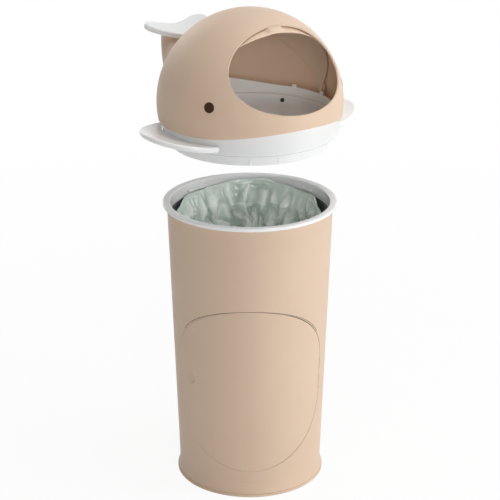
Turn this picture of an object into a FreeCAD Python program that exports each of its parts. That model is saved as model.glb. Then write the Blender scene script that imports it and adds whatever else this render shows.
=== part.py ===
"""Diaper pail: a tapered pail with a front door and a film bag, under a lift-off lid shaped like a whale.

Millimetres, +Z up. The origin is the centre of the pail's underside, and the door faces -Y.
The lid is stored lifted straight off its seat, and its head is turned to the right of the door.
"""

import math
import os

from FreeCAD import Vector
import Part

# Pail shell: a tapered tube with a flared foot
PAIL_HEIGHT = 484.0
PAIL_TOP_RADIUS = 138.0
PAIL_FOOT_RADIUS = 122.2
FOOT_HEIGHT = 24.0
FOOT_FLARE = 2.8
FOOT_CHAMFER = 0.8
SHELL_WALL = 2.5
FIT_CLEARANCE = 0.3
CUT_OVERLAP = 1.0

# Base plate and its screws
BASE_LIP = 1.2
BASE_THICKNESS = 4.0
BASE_SPIGOT_HEIGHT = 8.0
BASE_SPIGOT_WALL = 3.0
BASE_BOSS_RADIUS = 6.0
BASE_BOSS_HEIGHT = 16.0
BASE_SCREW_COUNT = 4

# Screws
SCREW_RADIUS = 1.75
SCREW_HEAD_RADIUS = 3.5
SCREW_HEAD_HEIGHT = 2.0
SCREW_END_ROOM = 2.0

# Rim ring with lugs on its inner wall
RING_OVERHANG = 7.0
RING_WALL = 2.0
RING_HEIGHT = 6.0
RING_SKIRT = 15.0
RING_ROUND = 2.2
LUG_COUNT = 4
LUG_ANGLE = 16.0
LUG_REACH = 3.2
LUG_DROP = 10.0
LUG_HEIGHT = 4.0

# Bag hoop and bag
HOOP_HEIGHT = 24.0
HOOP_TAKE_IN = 11.2
HOOP_WALL = 2.5
BAG_WALL = 1.0
BAG_TOP_DROP = 3.0
BAG_FLOOR_HEIGHT = 34.0
BAG_FLOOR_RADIUS = 104.0
BAG_ROUND = 30.0

# Door: a curved panel whose edges are cut towards the pail's axis
DOOR_LOW = 47.0
DOOR_HIGH = 342.0
DOOR_HALF_ANGLE = 65.5
DOOR_TOP_ARCH = 112.0
DOOR_LOW_ARCH = 120.0
DOOR_GAP = 0.55
ARCH_STEPS = 10
DIMPLE_ANGLE = -50.0
DIMPLE_HEIGHT = 202.0
DIMPLE_RADIUS = 9.5
DIMPLE_DEPTH = 4.2
DIMPLE_CUP_WALL = 2.0

# Door hinge: two sets of three knuckles on one slanted axis
HINGE_DEPTH = 0.8
HINGE_DOOR_GAP = 0.6
HINGE_JAMB_GAP = 1.1
KNUCKLE_RADIUS = 2.2
KNUCKLE_LENGTH = 7.0
KNUCKLE_END_GAP = 0.4
KNUCKLE_ROOM = 0.5
PIN_RADIUS = 1.0
PIN_RUNNING = 0.06
HINGE_SET_INSET = 3.0

# Door keeper and catch
KEEPER_HEIGHT = 22.0
KEEPER_THICKNESS = 3.0
KEEPER_GAP = 0.35
KEEPER_LAP_ANGLE = 6.0
KEEPER_HOLD_ANGLE = 7.0
CATCH_ANGLE = 5.0
CATCH_GAP = 0.3

# Lid: collar, plug and gasket
LID_TURN_ANGLE = 35.0
LID_LIFT = 119.0
COLLAR_WALL = 2.5
COLLAR_ROUND = 3.0
PLUG_GAP = 1.5
PLUG_DEPTH = 19.0
PLUG_RIB = 1.2
PLUG_RIB_HEIGHT = 9.0
PLUG_RIB_ANGLES = (-35.0, -14.0)
GASKET_INSET = 4.0
GASKET_WIDTH = 6.0
GASKET_THICKNESS = 1.6
GASKET_PROUD = 0.8

# Seam between collar and dome: level at the sides and back, rising to the chin
SEAM_HEIGHT = 25.0
SEAM_RISE = 14.0
SEAM_RISE_START = 40.0
SEAM_GAP = 0.3
SEAM_LEDGE = 3.0

# Dome and mouth
DOME_OVERHANG = 7.0
DOME_WALL = 3.0
DOME_CENTRE = 50.5
MOUTH_ANGLE = 34.5
MOUTH_HALF_WIDTH = 102.5
MOUTH_HALF_HEIGHT = 76.0

# Bowl inside the lid
BOWL_GAP = 3.5
BOWL_WALL = 2.5
BOWL_RIM_HEIGHT = 42.0
BOWL_RIM_RISE = 16.0
BOWL_RIM_RISE_START = 72.0
BOWL_STEP_HEIGHT = 27.0
BOWL_STEP = 6.0
BOWL_STEP_ROUND = 2.4
BOWL_FLOOR_ROUND = 10.0
BOWL_FLOOR_HEIGHT = 4.0
THROAT_RADIUS = 84.0
THROAT_DEPTH = 15.0
TAB_ANGLES = (85.0, 112.0)
TAB_WIDTH = 9.0
TAB_HEIGHT = 5.0
BOWL_SCREW_SPREAD_ANGLE = 30.0
BOWL_SCREW_HEIGHT = 18.5
BOWL_BOSS_RADIUS = 4.5
BOWL_SCREW_SINK = 0.5

# Fins, whose middles lie square to the way the head faces
SIDE_ANGLE = 90.0
FIN_HALF_ANGLE = 36.0
FIN_REACH = 51.0
FIN_LOW = 5.0
FIN_THICKNESS = 10.0
FIN_TIP_THICKNESS = 9.0
FIN_TIP_RISE = 12.0
FIN_ROUND = 3.2
FIN_SCREW_SPREAD_ANGLE = 16.0
FIN_SCREW_LENGTH = 12.0

# Eyes
EYE_RADIUS = 8.5
EYE_ANGLE = 60.0
EYE_HEIGHT = 27.0
EYE_RECESS = 1.4
EYE_PROUD = 0.25
EYE_EDGE = 0.15

# Visor: a spherical lune that swings inside the dome
VISOR_GAP = 2.0
VISOR_WALL = 2.0
VISOR_FRONT_ANGLE = 59.5
VISOR_SPAN_ANGLE = 72.0
VISOR_EAR_RADIUS = 10.0
GRIP_WIDTH = 26.0
GRIP_START_ANGLE = 1.5
GRIP_SPAN_ANGLE = 2.8
PIVOT_RADIUS = 3.0
PIVOT_SHOULDER_RADIUS = 5.0
PIVOT_HEAD_RADIUS = 6.0
PIVOT_HEAD_HEIGHT = 1.6
PIVOT_SEAT = 1.8

# Tail
TAIL_FLARE_HALF_WIDTH = 72.0
TAIL_FLARE_HALF_HEIGHT = 58.0
TAIL_NECK_HALF_WIDTH = 54.0
TAIL_NECK_HALF_HEIGHT = 42.0
TAIL_HALF_WIDTH = 43.0
TAIL_HALF_DEPTH = 29.0
TAIL_TIP_HALF_WIDTH = 36.0
TAIL_TIP_HALF_DEPTH = 24.0
TAIL_ROOT_RISE = 22.0
TAIL_NECK_RISE = 26.0
TAIL_BEND_RISE = 46.0
TAIL_FLARE_INSET = 43.0
TAIL_NECK_REACH = 18.0
TAIL_BEND_REACH = 43.0
TAIL_REACH = 54.0
TAIL_FLARE_ANGLE = 10.0
TAIL_NECK_ANGLE = 24.0
TAIL_BEND_ANGLE = 50.0
TAIL_TIP_ANGLE = 80.0
TAIL_RISE = 73.0
FLUKE_HALF_SPAN = 61.0
FLUKE_CHORD = 66.0
FLUKE_NOTCH = 12.0
FLUKE_THICKNESS = 11.0
FLUKE_ROUND = 3.6
FLUKE_TIP_RISE = 7.5
FLUKE_PITCH_ANGLE = 8.0
TAIL_SCREW_LENGTH = 14.0

# Places that follow from the sizes above
UP = Vector(0, 0, 1)
ORIGIN = Vector(0, 0, 0)
RING_TOP = PAIL_HEIGHT + RING_HEIGHT
RING_LOW = PAIL_HEIGHT - RING_SKIRT
LID_LOW = RING_TOP + LID_LIFT
HEAD_CENTRE = Vector(0, 0, LID_LOW + DOME_CENTRE)
TAPER = (PAIL_TOP_RADIUS - PAIL_FOOT_RADIUS) / (PAIL_HEIGHT - FOOT_HEIGHT)
FLARE_RADIUS = PAIL_FOOT_RADIUS + FOOT_FLARE
BASE_RADIUS = FLARE_RADIUS + BASE_LIP
SKIRT_RADIUS = PAIL_TOP_RADIUS - TAPER * RING_SKIRT - SHELL_WALL - FIT_CLEARANCE
RING_OUTER_RADIUS = PAIL_TOP_RADIUS + RING_OVERHANG
RING_INNER_RADIUS = SKIRT_RADIUS - RING_WALL
HOOP_LOWER_RADIUS = SKIRT_RADIUS - HOOP_WALL - HOOP_TAKE_IN
PLUG_RADIUS = RING_INNER_RADIUS - LUG_REACH - PLUG_GAP
COLLAR_RADIUS = RING_OUTER_RADIUS
GASKET_OUTER_RADIUS = COLLAR_RADIUS - GASKET_INSET
GASKET_INNER_RADIUS = GASKET_OUTER_RADIUS - GASKET_WIDTH
BOWL_RADIUS = COLLAR_RADIUS - COLLAR_WALL - BOWL_GAP
DOME_RADIUS = COLLAR_RADIUS + DOME_OVERHANG
CUT_REACH = 2 * DOME_RADIUS


def shell_radius(z):
    """Outer radius of the pail's wall at height z."""
    return PAIL_FOOT_RADIUS + TAPER * (z - FOOT_HEIGHT)


def around(radius, angle, z):
    """A point at an angle from the door's middle, positive to the right."""
    a = math.radians(angle)
    return Vector(radius * math.sin(a), -radius * math.cos(a), z)


def turned(points):
    """A solid of revolution about Z from a closed outline of (radius, height)."""
    wire = Part.makePolygon([Vector(r, 0, z) for r, z in points + points[:1]])
    return Part.Face(wire).revolve(ORIGIN, UP, 360)


def ring(outer, inner, low, high):
    return turned([(inner, low), (outer, low), (outer, high), (inner, high)])


def wedge(start, end, low, high):
    """A sector about Z between two angles from the door's middle, for cutting."""
    corner = [Vector(0, 0, low), around(CUT_REACH, start, low), around(CUT_REACH, end, low)]
    arc = Part.Arc(corner[1], around(CUT_REACH, (start + end) / 2, low), corner[2]).toShape()
    sides = [Part.makeLine(corner[0], corner[1]), arc, Part.makeLine(corner[2], corner[0])]
    return Part.Face(Part.Wire(sides)).extrude(Vector(0, 0, high - low))


def screw(seat, direction, length):
    """A pan-head screw whose head stands on seat, with its shank along direction."""
    head = Part.makeCylinder(SCREW_HEAD_RADIUS, SCREW_HEAD_HEIGHT, seat, direction * -1)
    return head.fuse(Part.makeCylinder(SCREW_RADIUS, length, seat, direction)).removeSplitter()


def rounded(shape, radius, picked):
    """Rounds the edges that picked() chooses."""
    return shape.makeFillet(radius, [e for e in shape.Edges if picked(e)])


def circle_at(edge, radius, z):
    """Whether an edge is the full circle of that radius and height."""
    return (
        isinstance(edge.Curve, Part.Circle)
        and abs(edge.Curve.Radius - radius) < 1e-6
        and abs(edge.Curve.Center.z - z) < 1e-6
    )


def on_lid(shape):
    """Turns a lid piece, made with its head towards -Y, to the way the head faces."""
    shape.rotate(ORIGIN, UP, LID_TURN_ANGLE)
    return shape


def write(name, shape):
    shape.exportStep(f"parts/{name}.step")


def group(shapes):
    return Part.makeCompound(shapes)


os.makedirs("parts", exist_ok=True)

# Pail shell: wall, flared foot and bosses for the base screws
foot_edge = BASE_THICKNESS + FOOT_CHAMFER
foot_outer = Part.Arc(
    Vector(FLARE_RADIUS, 0, foot_edge),
    Vector((FLARE_RADIUS + 2 * PAIL_FOOT_RADIUS) / 3, 0, (foot_edge + FOOT_HEIGHT) / 2),
    Vector(PAIL_FOOT_RADIUS, 0, FOOT_HEIGHT),
)
foot_inner = foot_outer.toShape().translated(Vector(-SHELL_WALL, 0, 0))
outline = [
    foot_outer.toShape(),
    Part.makeLine(Vector(PAIL_FOOT_RADIUS, 0, FOOT_HEIGHT), Vector(PAIL_TOP_RADIUS, 0, PAIL_HEIGHT)),
    Part.makeLine(
        Vector(PAIL_TOP_RADIUS, 0, PAIL_HEIGHT), Vector(PAIL_TOP_RADIUS - SHELL_WALL, 0, PAIL_HEIGHT)
    ),
    Part.makeLine(
        Vector(PAIL_TOP_RADIUS - SHELL_WALL, 0, PAIL_HEIGHT),
        Vector(PAIL_FOOT_RADIUS - SHELL_WALL, 0, FOOT_HEIGHT),
    ),
    foot_inner,
    Part.makeLine(
        Vector(FLARE_RADIUS - SHELL_WALL, 0, foot_edge), Vector(FLARE_RADIUS - SHELL_WALL, 0, BASE_THICKNESS)
    ),
    Part.makeLine(
        Vector(FLARE_RADIUS - SHELL_WALL, 0, BASE_THICKNESS),
        Vector(FLARE_RADIUS - FOOT_CHAMFER, 0, BASE_THICKNESS),
    ),
    Part.makeLine(
        Vector(FLARE_RADIUS - FOOT_CHAMFER, 0, BASE_THICKNESS), Vector(FLARE_RADIUS, 0, foot_edge)
    ),
]
wall = Part.Face(Part.Wire(Part.__sortEdges__(outline))).revolve(ORIGIN, UP, 360)
boss_radius = PAIL_FOOT_RADIUS - SHELL_WALL - BASE_BOSS_RADIUS / 2
base_screw_angles = [45 + 360 / BASE_SCREW_COUNT * i for i in range(BASE_SCREW_COUNT)]
boss_places = [around(boss_radius, a, BASE_THICKNESS) for a in base_screw_angles]
inside = turned(
    [
        (0, BASE_THICKNESS),
        (FLARE_RADIUS - SHELL_WALL / 2, BASE_THICKNESS),
        (PAIL_FOOT_RADIUS - SHELL_WALL / 2, FOOT_HEIGHT),
        (0, FOOT_HEIGHT),
    ]
)
shell = wall
for place in boss_places:
    boss = Part.makeCylinder(BASE_BOSS_RADIUS, BASE_BOSS_HEIGHT, place)
    bore = Part.makeCylinder(SCREW_RADIUS, BASE_BOSS_HEIGHT - SCREW_END_ROOM, place)
    shell = shell.fuse(boss.common(inside)).cut(bore)


def door_edge(gap, hinge_gap, y):
    """The door's outline in a plane of constant y, grown by a gap. Its sides lie in planes through Z."""
    mean = shell_radius((DOOR_LOW + DOOR_HIGH) / 2)
    half = math.radians(DOOR_HALF_ANGLE) * mean
    left = -half - gap
    right = half + hinge_gap
    middle = (left + right) / 2
    across = (right - left) / 2
    upper = DOOR_HIGH - DOOR_TOP_ARCH
    lower = DOOR_LOW + DOOR_LOW_ARCH

    def at(s, z):
        return Vector(-y * math.tan(s / mean), y, z)

    def arch(level, height, start):
        turns = [math.radians(start + 90 * i / ARCH_STEPS) for i in range(ARCH_STEPS + 1)]
        curve = Part.BSplineCurve()
        curve.interpolate(
            [at(middle + across * math.cos(a), level + height * math.sin(a)) for a in turns]
        )
        return curve.toShape()

    return Part.Wire(
        [
            arch(upper, DOOR_TOP_ARCH + gap, 0),
            arch(upper, DOOR_TOP_ARCH + gap, 90),
            Part.makeLine(at(left, upper), at(left, lower)),
            arch(lower, DOOR_LOW_ARCH + gap, 180),
            arch(lower, DOOR_LOW_ARCH + gap, 270),
            Part.makeLine(at(right, lower), at(right, upper)),
        ]
    )


def door_block(gap, hinge_gap):
    near = PAIL_FOOT_RADIUS / 4
    far = PAIL_TOP_RADIUS + 2 * SHELL_WALL
    wires = [door_edge(gap, hinge_gap, -near), door_edge(gap, hinge_gap, -far)]
    return Part.makeLoft(wires, True, True)


# Hinge axis: along the wall at the door's right edge, just under the surface
hinge_low = around(shell_radius(DOOR_LOW) - HINGE_DEPTH, DOOR_HALF_ANGLE, DOOR_LOW)
hinge_high = around(shell_radius(DOOR_HIGH) - HINGE_DEPTH, DOOR_HALF_ANGLE, DOOR_HIGH)
hinge_axis = (hinge_high - hinge_low).normalize()


def on_hinge(z):
    return hinge_low + hinge_axis * ((z - hinge_low.z) / hinge_axis.z)


def barrel(radius, z, length):
    return Part.makeCylinder(radius, length, on_hinge(z), hinge_axis)


opening = door_block(DOOR_GAP, HINGE_JAMB_GAP)
door = wall.common(door_block(0, -HINGE_DOOR_GAP))
shell = shell.cut(opening)
set_length = 3 * KNUCKLE_LENGTH
set_places = [
    DOOR_LOW + DOOR_LOW_ARCH + HINGE_SET_INSET,
    DOOR_HIGH - DOOR_TOP_ARCH - HINGE_SET_INSET - set_length,
]
pins = []
for low in set_places:
    middle = low + KNUCKLE_LENGTH
    top = middle + KNUCKLE_LENGTH
    shell = shell.cut(barrel(KNUCKLE_RADIUS + KNUCKLE_ROOM, middle, KNUCKLE_LENGTH))
    for z in (low, top):
        door = door.cut(
            barrel(
                KNUCKLE_RADIUS + KNUCKLE_ROOM, z - KNUCKLE_END_GAP, KNUCKLE_LENGTH + 2 * KNUCKLE_END_GAP
            )
        )
        shell = shell.fuse(barrel(KNUCKLE_RADIUS, z, KNUCKLE_LENGTH))
    door = door.fuse(
        barrel(KNUCKLE_RADIUS, middle + KNUCKLE_END_GAP, KNUCKLE_LENGTH - 2 * KNUCKLE_END_GAP)
    )
    shell = shell.cut(barrel(PIN_RADIUS, low, set_length))
    door = door.cut(barrel(PIN_RADIUS + PIN_RUNNING, low, set_length))
    pins.append(barrel(PIN_RADIUS, low, set_length))
write("hinge_pins", group(pins))

# Door: a cup behind the finger dimple gives it room
dimple_normal = around(1, DIMPLE_ANGLE, -TAPER).normalize()
dimple_place = around(shell_radius(DIMPLE_HEIGHT), DIMPLE_ANGLE, DIMPLE_HEIGHT)
ball_radius = (DIMPLE_RADIUS**2 + DIMPLE_DEPTH**2) / (2 * DIMPLE_DEPTH)
ball_centre = dimple_place + dimple_normal * (ball_radius - DIMPLE_DEPTH)
cup = Part.makeCylinder(
    DIMPLE_RADIUS + DIMPLE_CUP_WALL,
    DIMPLE_DEPTH + DIMPLE_CUP_WALL - SHELL_WALL / 2,
    dimple_place - dimple_normal * (SHELL_WALL / 2),
    dimple_normal * -1,
)
door = door.fuse(cup).cut(Part.makeSphere(ball_radius, ball_centre))
write("access_door", door)
write("pail_shell", shell)

# Door keeper on the shell, lapping behind the door's free edge, and the catch on the door
keeper_low = DIMPLE_HEIGHT - KEEPER_HEIGHT / 2
keeper_high = DIMPLE_HEIGHT + KEEPER_HEIGHT / 2
free_edge = -DOOR_HALF_ANGLE


def inner_band(drop, thickness, low, high):
    """A band that follows the pail's inner wall, drop below it."""
    return turned(
        [
            (shell_radius(low) - SHELL_WALL - drop - thickness, low),
            (shell_radius(low) - SHELL_WALL - drop, low),
            (shell_radius(high) - SHELL_WALL - drop, high),
            (shell_radius(high) - SHELL_WALL - drop - thickness, high),
        ]
    )


jamb_edge = free_edge - math.degrees(DOOR_GAP / PAIL_FOOT_RADIUS)
keeper = inner_band(KEEPER_GAP, KEEPER_THICKNESS, keeper_low, keeper_high).common(
    wedge(jamb_edge - KEEPER_HOLD_ANGLE, free_edge + KEEPER_LAP_ANGLE, keeper_low, keeper_high)
)
write("door_keeper", keeper)
catch_start = free_edge + KEEPER_LAP_ANGLE + math.degrees(CATCH_GAP / PAIL_FOOT_RADIUS)
catch = inner_band(KEEPER_GAP, KEEPER_THICKNESS, keeper_low, keeper_high).common(
    wedge(catch_start, catch_start + CATCH_ANGLE, keeper_low, keeper_high)
)
write("door_catch", catch.cut(cup))

# Base plate: lip, spigot inside the foot, and countersunk screws from below
spigot_outer = PAIL_FOOT_RADIUS - SHELL_WALL - 2 * BASE_BOSS_RADIUS
base = Part.makeCylinder(BASE_RADIUS, BASE_THICKNESS)
base = rounded(base, BASE_THICKNESS / 4, lambda e: circle_at(e, BASE_RADIUS, BASE_THICKNESS))
base = base.fuse(
    ring(
        spigot_outer, spigot_outer - BASE_SPIGOT_WALL, BASE_THICKNESS, BASE_THICKNESS + BASE_SPIGOT_HEIGHT
    )
)
base_screws = []
for place in boss_places:
    foot = Vector(place.x, place.y, 0)
    base = base.cut(Part.makeCylinder(SCREW_HEAD_RADIUS + FIT_CLEARANCE, SCREW_HEAD_HEIGHT, foot))
    base = base.cut(Part.makeCylinder(SCREW_RADIUS, BASE_THICKNESS, foot))
    length = BASE_THICKNESS + BASE_BOSS_HEIGHT - SCREW_HEAD_HEIGHT - 2 * SCREW_END_ROOM
    base_screws.append(screw(foot + UP * SCREW_HEAD_HEIGHT, UP, length))
write("base_plate", base)
write("base_screws", group(base_screws))

# Rim ring: it sits on the shell's top edge, its skirt inside the wall
rim = ring(RING_OUTER_RADIUS, RING_INNER_RADIUS, PAIL_HEIGHT, RING_TOP)
rim = rounded(
    rim,
    RING_ROUND,
    lambda e: circle_at(e, RING_OUTER_RADIUS, RING_TOP)
    or circle_at(e, RING_INNER_RADIUS, RING_TOP)
    or circle_at(e, RING_OUTER_RADIUS, PAIL_HEIGHT),
)
rim = rim.fuse(ring(SKIRT_RADIUS, RING_INNER_RADIUS, RING_LOW, PAIL_HEIGHT)).removeSplitter()
lug_top = RING_TOP - LUG_DROP
for i in range(LUG_COUNT):
    middle = 180 / LUG_COUNT + 360 / LUG_COUNT * i
    lug = ring(RING_INNER_RADIUS + CUT_OVERLAP, RING_INNER_RADIUS - LUG_REACH, lug_top - LUG_HEIGHT, lug_top)
    sector = wedge(middle - LUG_ANGLE / 2, middle + LUG_ANGLE / 2, RING_LOW, RING_TOP)
    rim = rim.fuse(lug.common(sector))
write("rim_ring", rim.removeSplitter())

# Bag hoop: a funnel under the rim's skirt that the bag hangs from
hoop_top = RING_LOW
hoop_low = hoop_top - HOOP_HEIGHT
hoop = turned(
    [
        (SKIRT_RADIUS, hoop_top),
        (HOOP_LOWER_RADIUS + HOOP_WALL, hoop_low),
        (HOOP_LOWER_RADIUS, hoop_low),
        (SKIRT_RADIUS - HOOP_WALL, hoop_top),
    ]
)
write("bag_hoop", hoop)

# Bag: a thin cup that follows the hoop and hangs to just above the base
hoop_slope = (SKIRT_RADIUS - HOOP_WALL - HOOP_LOWER_RADIUS) / HOOP_HEIGHT
bag_neck = HOOP_LOWER_RADIUS - FIT_CLEARANCE
bag_lip = bag_neck + hoop_slope * (HOOP_HEIGHT - BAG_TOP_DROP)
bag_top = hoop_top - BAG_TOP_DROP
outer = [(0, BAG_FLOOR_HEIGHT), (BAG_FLOOR_RADIUS - BAG_ROUND, BAG_FLOOR_HEIGHT)]
outer += [(BAG_FLOOR_RADIUS, BAG_FLOOR_HEIGHT + BAG_ROUND), (bag_neck, hoop_low), (bag_lip, bag_top)]
inner = [(r - BAG_WALL, z) for r, z in outer[::-1][:-2]]
inner += [(BAG_FLOOR_RADIUS - BAG_ROUND, BAG_FLOOR_HEIGHT + BAG_WALL), (0, BAG_FLOOR_HEIGHT + BAG_WALL)]
write("waste_bag", turned(outer + inner))

# Edge surfaces of the lid: level, then curving up towards the front or the back

def below_edge(level, start, rise, end, way):
    """The block below a surface across the lid that is level and, past start, has risen by rise at end."""
    run = end - start
    radius = (run**2 + rise**2) / (2 * rise)
    turn = math.asin(min(1, (end + FIN_REACH - start) / radius))

    def at(y, z):
        return Vector(-CUT_REACH, way * y, z)

    def on_arc(a):
        return at(start + radius * math.sin(a), level + radius * (1 - math.cos(a)))

    sides = [
        Part.Arc(on_arc(turn), on_arc(turn / 2), on_arc(0)).toShape(),
        Part.makeLine(on_arc(0), at(-CUT_REACH, level)),
        Part.makeLine(at(-CUT_REACH, level), at(-CUT_REACH, LID_LOW - CUT_REACH)),
        Part.makeLine(at(-CUT_REACH, LID_LOW - CUT_REACH), at(on_arc(turn).y * way, LID_LOW - CUT_REACH)),
        Part.makeLine(at(on_arc(turn).y * way, LID_LOW - CUT_REACH), on_arc(turn)),
    ]
    return Part.Face(Part.Wire(sides)).extrude(Vector(2 * CUT_REACH, 0, 0))


seam_z = LID_LOW + SEAM_HEIGHT


def below_seam(offset):
    return below_edge(seam_z + offset, SEAM_RISE_START, SEAM_RISE, DOME_RADIUS, -1)


# Collar: outer wall up to the seam, floor flange, and the plug that enters the rim
plug_inner = PLUG_RADIUS - COLLAR_WALL
collar_inner = COLLAR_RADIUS - COLLAR_WALL
collar_top = seam_z + 2 * SEAM_RISE
plug_low = LID_LOW - PLUG_DEPTH
flange_top = LID_LOW + COLLAR_WALL
collar = turned(
    [
        (plug_inner, plug_low),
        (PLUG_RADIUS, plug_low),
        (PLUG_RADIUS, LID_LOW),
        (COLLAR_RADIUS, LID_LOW),
        (COLLAR_RADIUS, collar_top),
        (collar_inner, collar_top),
        (collar_inner, flange_top),
        (plug_inner, flange_top),
    ]
)
collar = rounded(collar, COLLAR_ROUND, lambda e: circle_at(e, COLLAR_RADIUS, LID_LOW))
collar = collar.common(below_seam(-SEAM_GAP))
for angle in PLUG_RIB_ANGLES:
    rib = Part.makeCylinder(PLUG_RIB, PLUG_RIB_HEIGHT, around(PLUG_RADIUS, angle, plug_low))
    collar = collar.fuse(rib)

# Bowl: stepped wall, floor and throat, held by screws into bosses of the collar
step_inner = BOWL_RADIUS - BOWL_WALL - BOWL_STEP
floor_low = LID_LOW + BOWL_FLOOR_HEIGHT
step_z = LID_LOW + BOWL_STEP_HEIGHT
rim_z = LID_LOW + BOWL_RIM_HEIGHT
bowl_top = rim_z + BOWL_RIM_RISE
throat_low = LID_LOW - THROAT_DEPTH
bowl = turned(
    [
        (THROAT_RADIUS, throat_low),
        (THROAT_RADIUS + BOWL_WALL, throat_low),
        (THROAT_RADIUS + BOWL_WALL, floor_low),
        (plug_inner - FIT_CLEARANCE, floor_low),
        (plug_inner - FIT_CLEARANCE, flange_top),
        (step_inner + BOWL_WALL, flange_top),
        (step_inner + BOWL_WALL, step_z - BOWL_WALL),
        (BOWL_RADIUS, step_z - BOWL_WALL),
        (BOWL_RADIUS, bowl_top),
        (BOWL_RADIUS - BOWL_WALL, bowl_top),
        (BOWL_RADIUS - BOWL_WALL, step_z),
        (step_inner, step_z),
        (step_inner, floor_low + BOWL_WALL),
        (THROAT_RADIUS, floor_low + BOWL_WALL),
    ]
)
bowl = rounded(bowl, BOWL_FLOOR_ROUND, lambda e: circle_at(e, step_inner, floor_low + BOWL_WALL))
bowl = rounded(
    bowl,
    BOWL_STEP_ROUND,
    lambda e: circle_at(e, step_inner, step_z) or circle_at(e, BOWL_RADIUS - BOWL_WALL, step_z),
)
bowl = bowl.common(below_edge(rim_z, BOWL_RIM_RISE_START, BOWL_RIM_RISE, BOWL_RADIUS, 1))
tab_half_angle = math.degrees(TAB_WIDTH / 2 / BOWL_RADIUS)
tab_band = ring(BOWL_RADIUS, BOWL_RADIUS - BOWL_WALL, step_z, rim_z + TAB_HEIGHT)
for middle in [side * angle for side in (-1, 1) for angle in TAB_ANGLES]:
    bowl = bowl.fuse(
        tab_band.common(wedge(middle - tab_half_angle, middle + tab_half_angle, step_z, bowl_top))
    )
bowl_screws = []
screw_z = LID_LOW + BOWL_SCREW_HEIGHT
screw_angles = [side * SIDE_ANGLE + s * BOWL_SCREW_SPREAD_ANGLE for side in (-1, 1) for s in (-1, 1)]
boss_limit = ring(collar_inner + COLLAR_WALL / 2, step_inner + BOWL_WALL, LID_LOW, seam_z)
for angle in screw_angles:
    out = around(1, angle, 0)
    start = around(step_inner, angle, screw_z)
    boss = Part.makeCylinder(BOWL_BOSS_RADIUS, COLLAR_RADIUS - step_inner, start, out)
    shank = Part.makeCylinder(SCREW_RADIUS, collar_inner - step_inner, start, out)
    collar = collar.fuse(boss.common(boss_limit)).cut(shank)
    length = collar_inner - step_inner - SCREW_END_ROOM
    bowl_screws.append(screw(start + out * BOWL_SCREW_SINK, out, length))
    bowl = bowl.cut(bowl_screws[-1])
write("lid_bowl", on_lid(bowl.removeSplitter()))
write("bowl_screws", on_lid(group(bowl_screws)))

# Fins: curved slabs that stand against the collar's side, each held by screws from inside
fin_outer = COLLAR_RADIUS + FIN_REACH
slab_inner = COLLAR_RADIUS - COLLAR_WALL
fin_low = LID_LOW + FIN_LOW
tip_low = fin_low + FIN_TIP_RISE
slab_middle = fin_low + FIN_TIP_RISE / 4
slab_bottom = Part.Arc(
    Vector(slab_inner, 0, fin_low),
    Vector((slab_inner + fin_outer) / 2, 0, slab_middle),
    Vector(fin_outer, 0, tip_low),
).toShape()
slab_top = Part.Arc(
    Vector(slab_inner, 0, fin_low + FIN_THICKNESS),
    Vector((slab_inner + fin_outer) / 2, 0, slab_middle + (FIN_THICKNESS + FIN_TIP_THICKNESS) / 2),
    Vector(fin_outer, 0, tip_low + FIN_TIP_THICKNESS),
).toShape()
slab_ends = [
    Part.makeLine(Vector(slab_inner, 0, fin_low), Vector(slab_inner, 0, fin_low + FIN_THICKNESS)),
    Part.makeLine(Vector(fin_outer, 0, tip_low), Vector(fin_outer, 0, tip_low + FIN_TIP_THICKNESS)),
]
slab_face = Part.Face(Part.Wire(Part.__sortEdges__([slab_bottom, slab_top] + slab_ends)))
slab = slab_face.revolve(ORIGIN, UP, 360)


def fin(side):
    """A paddle seen from above, with its root on the collar."""
    middle = side * SIDE_ANGLE

    def at(radius, offset):
        return around(radius, middle + side * offset, 0)

    root = COLLAR_RADIUS - COLLAR_WALL / 2
    edge = Part.BSplineCurve()
    edge.interpolate(
        [
            at(COLLAR_RADIUS, -FIN_HALF_ANGLE),
            at(COLLAR_RADIUS + 0.30 * FIN_REACH, -0.86 * FIN_HALF_ANGLE),
            at(COLLAR_RADIUS + 0.66 * FIN_REACH, -0.60 * FIN_HALF_ANGLE),
            at(COLLAR_RADIUS + 0.94 * FIN_REACH, -0.28 * FIN_HALF_ANGLE),
            at(COLLAR_RADIUS + 0.98 * FIN_REACH, 0.04 * FIN_HALF_ANGLE),
            at(COLLAR_RADIUS + 0.86 * FIN_REACH, 0.38 * FIN_HALF_ANGLE),
            at(COLLAR_RADIUS + 0.50 * FIN_REACH, 0.72 * FIN_HALF_ANGLE),
            at(COLLAR_RADIUS, FIN_HALF_ANGLE),
        ]
    )
    root_arc = Part.Arc(at(root, FIN_HALF_ANGLE), at(root, 0), at(root, -FIN_HALF_ANGLE)).toShape()
    sides = [
        edge.toShape(),
        Part.makeLine(at(COLLAR_RADIUS, FIN_HALF_ANGLE), at(root, FIN_HALF_ANGLE)),
        root_arc,
        Part.makeLine(at(root, -FIN_HALF_ANGLE), at(COLLAR_RADIUS, -FIN_HALF_ANGLE)),
    ]
    plan = Part.Face(Part.Wire(sides)).extrude(Vector(0, 0, LID_LOW + CUT_REACH))
    blank = slab.common(plan)
    outside = [
        e for e in blank.Edges if min(math.hypot(v.X, v.Y) for v in e.Vertexes) > root + COLLAR_WALL / 4
    ]
    outside = [e for e in outside if e.Length > FIN_REACH]
    return blank.makeFillet(FIN_ROUND, outside).cut(Part.makeCylinder(COLLAR_RADIUS, LID_LOW + CUT_REACH))


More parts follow.
